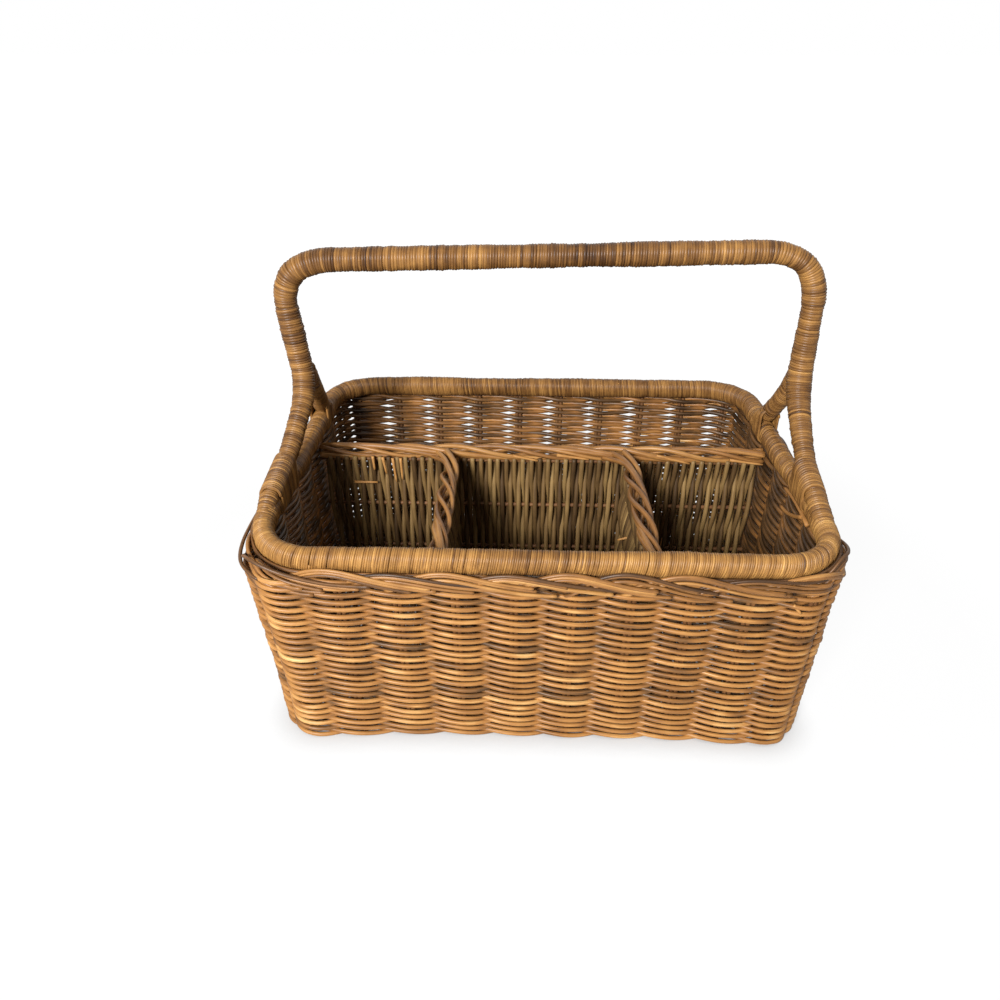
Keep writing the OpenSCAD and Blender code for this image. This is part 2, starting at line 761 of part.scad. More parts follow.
base_sticks();
base_weave();
front_stakes();
right_stakes();
back_stakes();
left_stakes();
corner_stakes();
front_weave();
right_weave();
back_weave();
left_weave();
front_right_corner_weave();
back_right_corner_weave();
back_left_corner_weave();
front_left_corner_weave();
long_divider_stakes();
long_divider_weave();
long_divider_border();
left_divider_stakes();
left_divider_weave();
left_divider_border();
right_divider_stakes();
right_divider_weave();
right_divider_border();
front_border();
right_border();
back_border();
left_border();
corner_border_loops();
rim_rod();
rim_wrap();
rim_corner_wrap();
handle_rod();
handle_top_wrap();
handle_bend_wraps();
handle_upright_wraps();
left_front_leg();
left_rear_leg();
right_front_leg();
right_rear_leg();
left_front_lashing();
left_rear_lashing();
right_front_lashing();
right_rear_lashing();
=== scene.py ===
import math

import bmesh
import bpy
import numpy as np
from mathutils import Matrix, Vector


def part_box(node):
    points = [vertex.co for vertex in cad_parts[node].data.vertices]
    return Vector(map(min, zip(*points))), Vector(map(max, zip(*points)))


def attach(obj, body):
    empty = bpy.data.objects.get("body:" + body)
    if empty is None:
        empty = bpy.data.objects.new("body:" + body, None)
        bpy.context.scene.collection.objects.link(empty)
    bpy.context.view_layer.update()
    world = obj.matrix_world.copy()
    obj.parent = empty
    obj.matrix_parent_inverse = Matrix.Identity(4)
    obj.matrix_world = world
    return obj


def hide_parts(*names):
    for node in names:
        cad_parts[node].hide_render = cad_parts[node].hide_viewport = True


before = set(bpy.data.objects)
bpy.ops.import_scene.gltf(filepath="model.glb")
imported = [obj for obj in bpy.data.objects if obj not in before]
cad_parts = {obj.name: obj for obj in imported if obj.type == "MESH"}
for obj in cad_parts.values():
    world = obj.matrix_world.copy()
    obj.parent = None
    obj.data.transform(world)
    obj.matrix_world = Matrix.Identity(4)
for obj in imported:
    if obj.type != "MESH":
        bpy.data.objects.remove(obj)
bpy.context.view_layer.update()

# Base
# Five thick sticks lie along the basket and thin round rods are woven across them, over and under by turns.
# The rods run out to the walls. All of it is rattan, dried stems with fine streaks and uneven browning.


class Socket:
    """A shader socket that takes part in Python arithmetic and adds the nodes it needs."""

    def __init__(self, tree, out=None):
        self.tree, self.out = tree, out

    def add(self, kind, settings=None, sockets=None, out=0):
        node = self.tree.nodes.new("ShaderNode" + kind)
        for name, value in (settings or {}).items():
            if name == "stops":
                ramp = node.color_ramp
                while len(ramp.elements) < len(value):
                    ramp.elements.new(1)
                for stop, (place, colour) in zip(ramp.elements, value):
                    stop.position, stop.color = place, (*colour, 1)
            else:
                setattr(node, name, value)
        for name, value in (sockets or {}).items():
            if isinstance(value, Socket):
                self.tree.links.new(value.out, node.inputs[name])
            else:
                node.inputs[name].default_value = value
        return Socket(self.tree, node.outputs[out] if node.outputs else None)

    def maths(self, operation, a, b):
        return self.add("Math", {"operation": operation}, {0: a, 1: b})

    def __add__(self, other):
        return self.maths("ADD", self, other)

    def __sub__(self, other):
        return self.maths("SUBTRACT", self, other)

    def __rsub__(self, other):
        return self.maths("SUBTRACT", other, self)

    def __mul__(self, other):
        return self.maths("MULTIPLY", self, other)

    __radd__ = __add__
    __rmul__ = __mul__


STREAKS_ALONG = 45
STREAKS_ACROSS = 1400
STREAK_CONTRAST = 0.7
STREAK_DEPTH = 0.0003
BLOTCH_SCALE = 85.0
POLE_TINT_SCALE = 38.0
SKIN_GLOSS = 0.25
COAT_ROUGHNESS = 0.38


def rattan(name, shades, grain="strand", rough=0.5, coat=0.0, mottle=0.35):
    """Dried stem: shades from dark to pale, streaked along the strand or along an axis of the basket."""
    material = bpy.data.materials.new(name)
    material.use_nodes = True
    tree = material.node_tree
    shader = tree.nodes["Principled BSDF"]
    net = Socket(tree)
    if grain == "strand":
        place = net.add("Attribute", {"attribute_name": "fibre"}, out="Vector")
        tint = net.add("Attribute", {"attribute_name": "tint"}, out="Fac")
        stretch = (STREAKS_ALONG, STREAKS_ACROSS, STREAKS_ACROSS)
    else:
        place = net.add("TexCoord", out="Object")
        tint = net.add("TexNoise", {}, {"Vector": place, "Scale": POLE_TINT_SCALE, "Detail": 1.0})
        stretch = [STREAKS_ALONG if axis == grain else STREAKS_ACROSS for axis in "XYZ"]
    streaks = net.add(
        "TexNoise",
        {},
        {
            "Vector": net.add("Mapping", {}, {"Vector": place, "Scale": stretch}),
            "Scale": 1.0,
            "Detail": 2.0,
            "Roughness": 0.6,
        },
    )
    blotches = net.add(
        "TexNoise",
        {},
        {
            "Vector": net.add("TexCoord", out="Object"),
            "Scale": BLOTCH_SCALE,
            "Detail": 3.0,
            "Roughness": 0.6,
        },
    )
    shade = tint + (streaks - 0.5) * STREAK_CONTRAST + (blotches - 0.5) * mottle
    stops = list(zip(np.linspace(0.0, 1.0, len(shades)), shades))
    colour = net.add("ValToRGB", {"stops": stops}, {"Fac": shade})
    relief = net.add("Bump", {}, {"Height": streaks, "Strength": 0.3, "Distance": STREAK_DEPTH})
    for socket, value in {
        "Base Color": colour,
        "Roughness": rough + (0.5 - streaks) * 0.3,
        "Normal": relief,
    }.items():
        tree.links.new(value.out, shader.inputs[socket])
    shader.inputs["Specular IOR Level"].default_value = SKIN_GLOSS
    shader.inputs["Coat Weight"].default_value = coat
    shader.inputs["Coat Roughness"].default_value = COAT_ROUGHNESS
    return material


FIBRE_SHIFT = 0.73


def strands(name, paths, radius, finish, nodes=(), corners=2):
    """One mesh of round rods along paths of (points, tint, thickness), with what its finish reads."""
    line = bpy.data.curves.new(name, "CURVE")
    line.dimensions = "3D"
    line.bevel_depth = radius
    line.bevel_resolution = corners
    counts, tints, along = [], [], []
    for number, (points, tint, thickness) in enumerate(paths):
        points = np.asarray(points, float)
        count = len(points)
        spline = line.splines.new("POLY")
        spline.points.add(count - 1)
        spline.points.foreach_set("co", np.c_[points, np.ones(count)].ravel())
        spline.points.foreach_set("radius", np.full(count, 1.0) * thickness)
        steps = np.linalg.norm(np.diff(points, axis=0), axis=1)
        counts.append(count)
        tints.append(np.full(count, 1.0) * tint)
        along.append(np.r_[0, np.cumsum(steps)] + FIBRE_SHIFT * number)
    core = bpy.data.objects.new(name, line)
    bpy.context.scene.collection.objects.link(core)
    ready = core.evaluated_get(bpy.context.evaluated_depsgraph_get())
    mesh = bpy.data.meshes.new_from_object(ready)
    bpy.data.objects.remove(core)
    bpy.data.curves.remove(line)
    mesh.name = name
    mesh.materials.clear()
    mesh.materials.append(finish)
    sides = len(mesh.vertices) // sum(counts)
    around = np.tile(np.arange(sides) * 2 * math.pi / sides, sum(counts))
    fibre = np.c_[
        np.repeat(np.concatenate(along), sides),
        radius * np.cos(around),
        radius * np.sin(around),
    ]
    shade = mesh.attributes.new("tint", "FLOAT", "POINT")
    shade.data.foreach_set("value", np.repeat(np.concatenate(tints), sides))
    grain = mesh.attributes.new("fibre", "FLOAT_VECTOR", "POINT")
    grain.data.foreach_set("vector", fibre.ravel())
    tubes = bmesh.new()
    tubes.from_mesh(mesh)
    bmesh.ops.holes_fill(tubes, edges=[e for e in tubes.edges if e.is_boundary])
    tubes.to_mesh(mesh)
    tubes.free()
    mesh.shade_smooth()
    piece = bpy.data.objects.new(name, mesh)
    bpy.context.scene.collection.objects.link(piece)
    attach(piece, "root")
    if nodes:
        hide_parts(*nodes)


STAKE_SHADES = [(0.045, 0.018, 0.007), (0.16, 0.07, 0.026), (0.30, 0.15, 0.055)]
stick_finish = rattan("base_stick_rattan", STAKE_SHADES, grain="X", rough=0.6)
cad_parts["base_sticks"].data.materials.clear()
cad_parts["base_sticks"].data.materials.append(stick_finish)

base_random = np.random.default_rng(5)
BASE_ROD_R = 0.0018
BASE_ROD_PITCH = 0.0030
BASE_STICKS = 5
BASE_CORNER_R = 0.019
BASE_EDGE_X = 0.1690
BASE_EDGE_Y = 0.1195
BASE_ROD_POINTS = 61
FLAT_OVER_STICK = 1.25
stick_low, stick_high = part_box("base_sticks")
base_top_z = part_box("base_weave")[1].z
stick_d = stick_high.z - stick_low.z
stick_pitch = (stick_high.y - stick_low.y - stick_d) / (BASE_STICKS - 1)
base_z = (stick_low.z + stick_high.z) / 2
base_lift = base_top_z - BASE_ROD_R - base_z
base_rods = []
half_count = int((BASE_EDGE_X - BASE_ROD_R) / BASE_ROD_PITCH)
for k in range(-half_count, half_count + 1):
    x = k * BASE_ROD_PITCH
    beyond = max(0.0, abs(x) + BASE_ROD_R - BASE_EDGE_X + BASE_CORNER_R)
    reach = BASE_EDGE_Y - BASE_CORNER_R + math.sqrt(BASE_CORNER_R**2 - beyond**2)
    y = np.linspace(-reach, reach, BASE_ROD_POINTS)
    weave = (-1) ** k * np.cos(math.pi * y / stick_pitch)
    z = base_z + base_lift * np.clip(FLAT_OVER_STICK * weave, -1, 1)
    base_rods.append((np.c_[np.full(BASE_ROD_POINTS, x), y, z], base_random.uniform(0.25, 0.7), 1))
REED_SHADES = [
    (0.030, 0.015, 0.006),
    (0.115, 0.057, 0.021),
    (0.28, 0.122, 0.034),
    (0.45, 0.212, 0.060),
    (0.68, 0.410, 0.155),
]
reed_finish = rattan("wall_reed_rattan", REED_SHADES, rough=0.42, coat=0.12)
strands("base_woven_rods", base_rods, BASE_ROD_R, reed_finish, ["base_weave"])

# Wall stakes
# Pairs of thin round rods that stand in the base and carry the weaving, at 34 places round the basket.
# They are the solids of the frame, browner than the weaving because they sit in its shade.
upright_finish = rattan("stake_rattan", STAKE_SHADES, grain="Z", rough=0.55)
for node in (
    "front_stakes",
    "right_stakes",
    "back_stakes",
    "left_stakes",
    "corner_stakes",
):
    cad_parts[node].data.materials.clear()
    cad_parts[node].data.materials.append(upright_finish)

# Wall weaving
# Rows of two reeds twined round the stakes: at each stake one passes outside and one inside, and they cross
# between. The reed that comes out lies high and the one that goes back lies low, so every float slopes.
# Round the two front corners the rows stand out a little, most at the foot.
wall_random = np.random.default_rng(11)
rod_low, rod_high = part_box("rim_rod")
rim_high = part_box("rim_wrap")[1]
rim_rod_r = (rod_high.z - rod_low.z) / 2
rim_h = (rod_high.z + rod_low.z) / 2
rim_half_w = rod_high.x - rim_rod_r
rim_half_d = rod_high.y - rim_rod_r
rim_side = rim_high.x - rim_half_w
rim_rise = rim_high.z - rim_h
WALL_OFFSET = 0.0029
SIDE_LEAN = math.tan(math.radians(2.3))
FRONT_LEAN = math.tan(math.radians(6))
WALL_CORNER_R = 0.024
FRONT_PITCH = 0.0358
SIDE_PITCH = 0.038
STAKE_FAN = 0.03
WALL_STAKES = (8, 5, 8, 5)
CORNER_TURNS = (math.radians(22), math.radians(68))
QUARTER_TURNS = ((1, 0), (0, 1), (-1, 0), (0, -1))
first_stake = np.cumsum([0] + [count + len(CORNER_TURNS) for count in WALL_STAKES])
STAKES_ROUND = int(first_stake[4])


def wall_sizes(z):
    """Half width and half depth of the basket at a height, to the middle of the wall."""
    return (
        rim_half_w + WALL_OFFSET - (rim_h - z) * SIDE_LEAN,
        rim_half_d + WALL_OFFSET - (rim_h - z) * FRONT_LEAN,
    )


def wall_starts(z):
    """Where each wall starts, counted along the wall from the front's left end, and the length round."""
    runs = [2 * (wall_sizes(z)[wall % 2] - WALL_CORNER_R) for wall in range(4)]
    return np.cumsum([0] + [run + math.pi / 2 * WALL_CORNER_R for run in runs])


def stake_places(z):
    """Distance along the wall of every stake, with one more at each end so that rows can close."""
    starts, places = wall_starts(z), []
    drawn_in = 1 - STAKE_FAN * (rim_h - z) / rim_h
    for wall, count in enumerate(WALL_STAKES):
        run = wall_sizes(z)[wall % 2] - WALL_CORNER_R
        pitch = (FRONT_PITCH, SIDE_PITCH)[wall % 2] * drawn_in
        places += [starts[wall] + run + (k - (count - 1) / 2) * pitch for k in range(count)]
        places += [starts[wall] + 2 * run + turn * WALL_CORNER_R for turn in CORNER_TURNS]
    return np.array([places[-1] - starts[4], *places, places[0] + starts[4]])


def wall_points(stake, z, out, row_z):
    """Points beside the wall at stake numbers, heights and distances outside the middle of the wall."""
    stake, z, out = np.broadcast_arrays(*(np.asarray(v, float) for v in (stake, z, out)))
    starts, sizes = wall_starts(row_z), wall_sizes(row_z)
    s = np.interp(np.mod(stake, STAKES_ROUND), np.arange(-1, STAKES_ROUND + 1), stake_places(row_z))
    s = np.mod(s, starts[4])
    points = np.zeros((len(s), 3))
    for wall in range(4):
        here = (s >= starts[wall]) & (s < starts[wall + 1])
        run, far = (sizes[(wall + i) % 2] - WALL_CORNER_R for i in (0, 1))
        lean_along, lean_out = ((SIDE_LEAN, FRONT_LEAN)[(wall + i) % 2] for i in (0, 1))
        d = s[here] - starts[wall]
        turn = np.clip(d - 2 * run, 0, None) / WALL_CORNER_R
        lean = (z[here] - row_z) * (lean_out * np.cos(turn) + lean_along * np.sin(turn))
        beside = WALL_CORNER_R + out[here] + lean
        u = np.minimum(d - run, run) + beside * np.sin(turn)
        v = -far - beside * np.cos(turn)
        cos, sin = QUARTER_TURNS[wall]
        points[here] = np.c_[u * cos - v * sin, u * sin + v * cos, z[here]]
    return points


def wander(stake, random, reach, waves):
    """A smooth irregular swing that closes on itself round the basket."""
    turn = 2 * math.pi * np.asarray(stake) / STAKES_ROUND
    swing = sum(
        random.normal() * np.sin(n * turn + random.uniform(0, 2 * math.pi)) for n in waves
    )
    return reach * swing / math.sqrt(len(waves))


def from_stake(turns, stake):
    """Stakes counted from one place on the basket, the short way round."""
    half = STAKES_ROUND / 2
    return np.mod(turns - stake + half, STAKES_ROUND) - half


REED_R = 0.00142
ROWS = 26
ROW_PITCH = 0.00556
FIRST_ROW_Z = 0.0030
FLOAT_OUT = 0.0036
CROSS_RISE = 0.0012
ROW_WAVER = 0.00028
FOOT_SLACK = 0.7
SLACK_PER_ROW = 0.1
SLACK_WAVER = 0.08
FLAT_FLOAT = 0.85
ROUND_FLOAT = 1.7
REED_TINT = 0.46
INSIDE_SHADE = 0.19
SIDE_DULL = 0.1
DULL_AT = [8, 11, 16, 18]
DULL = [0, 1, 1, 0]
THICKNESS_AT = [0, 8, 9.5, 31.5, 34]
THICKNESS = [1.05, 1.05, 1.24, 1.24, 1.05]
FRONT_CORNERS = (8.3, 32.9)
SWELL_STAKES = 1.5
SWELL_ROWS = [0, 3, 8, 14, 20, 25]
CORNER_SWELL = (
    [0.0050, 0.0035, 0.0020, 0.0015, 0.0000, 0.0000],
    [0.0045, 0.0030, 0.0025, 0.0030, 0.0042, 0.0048],
)
STEPS = 10
END_LAP = 2
END_TAPER = 0.8
wall_strands = [[], [], [], []]
for row in range(ROWS):
    row_z = FIRST_ROW_Z + row * ROW_PITCH
    turns = np.arange(-END_LAP, STAKES_ROUND * STEPS + END_LAP + 1) / STEPS - 0.5
    thickness = np.interp(np.mod(turns, STAKES_ROUND), THICKNESS_AT, THICKNESS)
    lift = wander(turns, wall_random, ROW_WAVER, (3, 5, 8, 13, 21)) * min(row, 3) / 3
    slack = min(1, FOOT_SLACK + SLACK_PER_ROW * row)
    slack = slack + wander(turns, wall_random, SLACK_WAVER, (5, 9, 17, 23))
    pushed = np.zeros(len(turns))
    for corner, swell in zip(FRONT_CORNERS, CORNER_SWELL):
        near = np.exp(-((from_stake(turns, corner) / SWELL_STAKES) ** 2))
        pushed += np.interp(row, SWELL_ROWS, swell) * near
    for side in (1, -1):
        swing = np.cos(math.pi * turns)
        at_back = (turns >= first_stake[2] - 0.5) & (turns <= first_stake[3] - 0.5)
        bulge = np.where(at_back, ROUND_FLOAT, FLAT_FLOAT)
        out = side * FLOAT_OUT * slack * np.sign(swing) * np.abs(swing) ** bulge
        rise = -side * CROSS_RISE * np.sin(math.pi * turns)
        points = wall_points(turns, row_z + lift + rise, out + pushed, row_z)
        tint = (
            REED_TINT
            + INSIDE_SHADE * out / FLOAT_OUT
            - SIDE_DULL * np.interp(turns, DULL_AT, DULL) * (out < 0)
            + wander(turns, wall_random, 0.09, (1, 2, 4, 7, 11))
            + wander(turns, wall_random, 0.07, (29, 41, 53))
            + wall_random.normal(0, 0.07)
        )
        for wall in range(4):
            part = slice(first_stake[wall] * STEPS, first_stake[wall + 1] * STEPS + 2 * END_LAP + 1)
            tapered = thickness[part].copy()
            tapered[:END_LAP] *= END_TAPER
            tapered[-END_LAP:] *= END_TAPER
            wall_strands[wall].append((points[part], tint[part], tapered))
for wall, nodes in enumerate(
    (
        ("front_weave", "front_right_corner_weave"),
        ("right_weave", "back_right_corner_weave"),
        ("back_weave", "back_left_corner_weave"),
        ("left_weave", "front_left_corner_weave"),
    )
):
    strands(
        nodes[0].replace("weave", "twined_reeds"),
        wall_strands[wall],
        REED_R,
        reed_finish,
        nodes,
    )

# Border
# Above the weaving three tails of each stake pair bend over to the right, arch outside the next two pairs and
# end tucked in on the top row. Round the corners some stand off as loose loops, and the rest are drawn in.
border_random = np.random.default_rng(31)
BORDER_SHADES = [
    (0.028, 0.013, 0.005),
    (0.110, 0.049, 0.016),
    (0.28, 0.123, 0.034),
    (0.43, 0.212, 0.062),
    (0.64, 0.390, 0.150),
]
border_finish = rattan("border_rattan", BORDER_SHADES, rough=0.42, coat=0.2)
BORDER_R = 0.00112
rim_foot = rim_h - rim_rise
BORDER_DROP = 0.004
border_mid = rim_foot - BORDER_DROP
REACH = [-0.12, 0.0, 0.3, 0.65, 0.95, 1.4, 1.9, 2.5]
LIFT = [-0.0062, -0.0040, 0.0014, 0.0066, 0.0074, 0.0040, -0.0008, -0.0046]
PROUD = [0.0020, 0.0048, 0.0062, 0.0068, 0.0073, 0.0085, 0.0084, 0.0070]
TAIL_LAYERS = 3
TAIL_POINTS = 44
END_SPREAD = 0.3
ARCH_SPREAD = 0.16
STAKE_SPREAD = 0.08
LIFT_WAVER = 0.0008
OUT_WAVER = 0.0005
LAYER_STEP = 1.9
LAYER_SPREAD = 0.4
EASE_SHAPE = 7
EASE_PATH = 9
CORNER_DRAW = 0.0055
CORNER_STAKES = 0.85
DRAW_FROM = 0.003
# At each corner from the front right one on: how far loops stand out and rise, and low tails are drawn in.
CORNER_LOOPS = (
    (-0.0055, 0.0055, 0.0045),
    (-0.0040, 0.0, 0.0030),
    (-0.0040, 0.0, 0.0030),
    (0.0018, 0.0045, 0.0010),
)


def ease(values, width):
    """Rounds the bends of a row of numbers in place, over an odd count of them, and keeps its ends."""
    half = width // 2
    values[half:-half] = np.convolve(values, np.ones(width) / width, "valid")


tails = []
for stake in range(STAKES_ROUND):
    loose = border_random.normal(0, 1, 4)
    for layer in range(TAIL_LAYERS):
        end = REACH[-1] + END_SPREAD * border_random.normal()
        way = np.linspace(REACH[0], end, TAIL_POINTS)
        lift = np.interp(way, REACH, LIFT) * (1 + ARCH_SPREAD * loose[3])
        lift = lift + LIFT_WAVER * loose[0] * np.sin(2.2 * way + loose[1])
        out = np.interp(way, REACH, PROUD)
        out = out + OUT_WAVER * loose[2] * np.sin(1.6 * way + loose[3])
        ease(lift, EASE_SHAPE)
        ease(out, EASE_SHAPE)
        z = rim_foot + lift - layer * (LAYER_STEP + LAYER_SPREAD * border_random.normal()) * BORDER_R
        at = stake + STAKE_SPREAD * loose[1] + way
        proud_loop = layer == 0 and stake % 2 == 0
        above = np.clip((z - rim_foot + DRAW_FROM) / (2 * DRAW_FROM), 0, 1)
        for wall, (loop_out, loop_up, tail_in) in enumerate(CORNER_LOOPS):
            corner = first_stake[wall + 1] - 1.5
            near = np.exp(-((from_stake(at, corner) / CORNER_STAKES) ** 2))
            if proud_loop:
                out = out + near * loop_out
                z = z + near * loop_up
            else:
                out = out - near * (CORNER_DRAW * above + tail_in * (1 - above))
        points = wall_points(at, z, out, border_mid)
        for i in range(3):
            ease(points[:, i], EASE_PATH)
        # Every other top tail, the ones that stand off as loops at the corners, gets a darker tint: painted
        # shade, as those loops lie in shade.
        tint = border_random.uniform(*((0.10, 0.28) if proud_loop else (0.25, 0.75)))
        tails.append((points, tint, border_random.uniform(0.9, 1.2)))
strands(
    "border_tails",
    tails,
    BORDER_R,
    border_finish,
    ["front_border", "right_border", "back_border", "left_border", "corner_border_loops"],
)

# Dividers
# Each divider has three horizontal stakes, upright reeds woven past them in front and behind by turns, and a
# loose rope of six rods on top. They stand on the base between the walls, in a duller rattan than theirs.
DIVIDER_SHADES = [
    (0.026, 0.014, 0.006),
    (0.085, 0.046, 0.017),
    (0.180, 0.104, 0.037),
    (0.320, 0.200, 0.074),
]
divider_random = np.random.default_rng(23)
divider_finish = rattan("divider_reed_rattan", DIVIDER_SHADES, rough=0.55, mottle=0.4)
along_finish = rattan("long_divider_stake_rattan", STAKE_SHADES, grain="X", rough=0.55)
across_finish = rattan("cross_divider_stake_rattan", STAKE_SHADES, grain="Y", rough=0.55)
for node, finish in (
    ("long_divider_stakes", along_finish),
    ("left_divider_stakes", across_finish),
    ("right_divider_stakes", across_finish),
):
    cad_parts[node].data.materials.clear()
    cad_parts[node].data.materials.append(finish)

DIVIDER_REED_R = 0.00178
DIVIDER_REED_PITCH = 0.0032
DIVIDER_OUT = 0.0032
DIVIDER_STAKE_PITCH = 0.04
DIVIDER_REED_POINTS = 44
DIVIDER_WAVER = 0.0002
ROPE_R = 0.0019
ROPE_RODS = 6
ROPE_POINTS = 130
HOOK_RUN = 0.024
TWIST_WAVER, TWIST_WAVE = 0.5, 0.027
SWING_WAVER, SWING_WAVE = 0.2, 0.031
RISE_WAVER, RISE_WAVE = 0.0010, 0.023
# Each rope's size is its swing, its rise, the length of one twist and the hook at its far end.
for name, along, leans, rope_size in (
    ("long", 0, (SIDE_LEAN, SIDE_LEAN), (0.0042, 0.0034, 0.15, 0.0)),
    ("left", 1, (FRONT_LEAN, 0.0), (0.0050, 0.0034, 0.11, 0.013)),
    ("right", 1, (FRONT_LEAN, 0.0), (0.0050, 0.0034, 0.13, 0.015)),
):
    across = 1 - along
    low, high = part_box(name + "_divider_weave")
    stake_low, stake_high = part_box(name + "_divider_stakes")
    stake_r = (stake_high[across] - stake_low[across]) / 2
    middle = (stake_low[across] + stake_high[across]) / 2
    top_stake_z = stake_high.z - stake_r
    tall = high.z - low.z
    first, last = low[along] + leans[0] * tall, high[along] - leans[1] * tall
    count = int((last - first - 2 * DIVIDER_REED_R) / DIVIDER_REED_PITCH)
    z = np.linspace(low.z, high.z, DIVIDER_REED_POINTS)
    phase = math.pi * (z - top_stake_z) / DIVIDER_STAKE_PITCH
    reeds = []
    for k in range(count + 1):
        share = k / count
        foot = first + DIVIDER_REED_R + share * (last - first - 2 * DIVIDER_REED_R)
        lean = leans[1] * max(0, 2 * share - 1) - leans[0] * max(0, 1 - 2 * share)
        bow = divider_random.normal(0, DIVIDER_WAVER) * np.sin(1.5 * math.pi * (z - low.z) / tall)
        u = foot + lean * (z - low.z) + bow
        v = middle + (-1) ** k * DIVIDER_OUT * np.cos(phase)
        points = np.c_[u, v, z] if along == 0 else np.c_[v, u, z]
        reeds.append((points, divider_random.uniform(0.2, 0.9), divider_random.uniform(1.0, 1.1)))
    strands(
        name + "_divider_reeds",
        reeds,
        DIVIDER_REED_R,
        divider_finish,
        [name + "_divider_weave"],
    )

    low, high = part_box(name + "_divider_border")
    u = np.linspace(low[along], high[along], ROPE_POINTS)
    swing, rise, length, hook = rope_size
    hooked = np.clip((u - high[along] + HOOK_RUN) / HOOK_RUN, 0, 1) ** 2
    rope = []
    for k in range(ROPE_RODS):
        twist = 2 * math.pi * (u / length + k / ROPE_RODS) + TWIST_WAVER * np.sin(u / TWIST_WAVE + 2.1 * k)
        v = middle + swing * (1 + SWING_WAVER * np.sin(u / SWING_WAVE + k)) * np.cos(twist)
        v = v - hook * hooked * (k % 3) / 2
        z = (low.z + high.z) / 2 + rise * np.sin(twist) + RISE_WAVER * np.sin(u / RISE_WAVE + k)
        points = np.c_[u, v, z] if along == 0 else np.c_[v, u, z]
        rope.append((points, divider_random.uniform(0.35, 0.7), divider_random.uniform(0.8, 1.15)))
    strands(
        name + "_divider_top_rods",
        rope,
        ROPE_R,
        border_finish,
        [name + "_divider_border"],
    )

# Loose ends
# Cut ends of reed that were pushed in while weaving and stand out pale against the rest. They are held
# between the reeds of the dividers, two curved ones under the rim on the right, and one in the front wall.
LOOSE_R = 0.0011
LOOSE_POINTS = 6
LOOSE_TINT = 0.55
CURVED_POINTS = 9
CURVED_TINT = 0.25
loose_ends = [
    ((-0.0211, 0.0334, 0.1375), (-0.0017, 0.0335, 0.1333)),
    ((0.0128, 0.0334, 0.1386), (0.0377, 0.0335, 0.1350)),
    ((0.0896, 0.0334, 0.1390), (0.1158, 0.0335, 0.1325)),
    ((0.1461, 0.0334, 0.1362), (0.1720, 0.0335, 0.1326)),
    ((0.0696, -0.0200, 0.0994), (0.0577, -0.0200, 0.0956)),
    ((0.1492, -0.1376, 0.1270), (0.1543, -0.1390, 0.1215)),
    ((-0.1470, 0.0335, 0.1123), (-0.1286, 0.0335, 0.1123)),
    ((-0.1308, 0.0330, 0.1356), (-0.1302, 0.0340, 0.1233)),
    ((-0.1230, 0.0330, 0.1348), (-0.1210, 0.0340, 0.1198)),
    ((-0.1153, 0.0330, 0.1341), (-0.1135, 0.0340, 0.1128)),
    ((-0.1090, 0.0330, 0.1342), (-0.1086, 0.0340, 0.1147)),
]
curved_ends = [
    ((0.1716, -0.0225, 0.1439), (0.1714, -0.0480, 0.1475), (0.1708, -0.0790, 0.1468)),
    ((0.1712, -0.0235, 0.1297), (0.1714, -0.0445, 0.1345), (0.1708, -0.0695, 0.1476)),
]
loose_thickness = np.linspace(1.1, 0.7, LOOSE_POINTS)
loose_paths = [(np.linspace(*ends, LOOSE_POINTS), LOOSE_TINT, loose_thickness) for ends in loose_ends]
along_end = np.linspace(0, 1, CURVED_POINTS)
for bend in curved_ends:
    curve = np.polyfit([0, 0.5, 1], bend, 2)
    points = np.c_[[np.polyval(curve[:, i], along_end) for i in range(3)]].T
    loose_paths.append((points, CURVED_TINT, np.linspace(1.2, 1.4, CURVED_POINTS)))
loose_finish = rattan("loose_end_rattan", REED_SHADES[2:], rough=0.5)
strands("divider_loose_ends", loose_paths, LOOSE_R, loose_finish)

# Rim
# A bent pole round the top of the basket, wound from end to end with narrow cane, turn against turn.
# The cane's smooth skin is outside, and no two turns have quite one colour. Where the handle's front legs are
# bound to it, the rim is drawn up a little.
pole_finish = rattan("rim_pole_rattan", STAKE_SHADES, grain="X", rough=0.6)
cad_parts["rim_rod"].data.materials.clear()
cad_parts["rim_rod"].data.materials.append(pole_finish)
CANE_SHADES = [
    (0.045, 0.018, 0.006),
    (0.165, 0.074, 0.021),
    (0.36, 0.178, 0.050),
    (0.55, 0.300, 0.090),
    (0.78, 0.510, 0.210),
]
cane_finish = rattan("wrapping_cane", CANE_SHADES, rough=0.42, coat=0.12, mottle=0.5)
rim_random = np.random.default_rng(41)
TURN_POINTS = 16
PITCH_WAVER = 0.12
TURN_WAVER = 0.0001
WIDTH_WAVER = 0.06
OWN_SHADE = 0.085
SHARED_SHADE = 0.2
SHADE_TURNS = 40


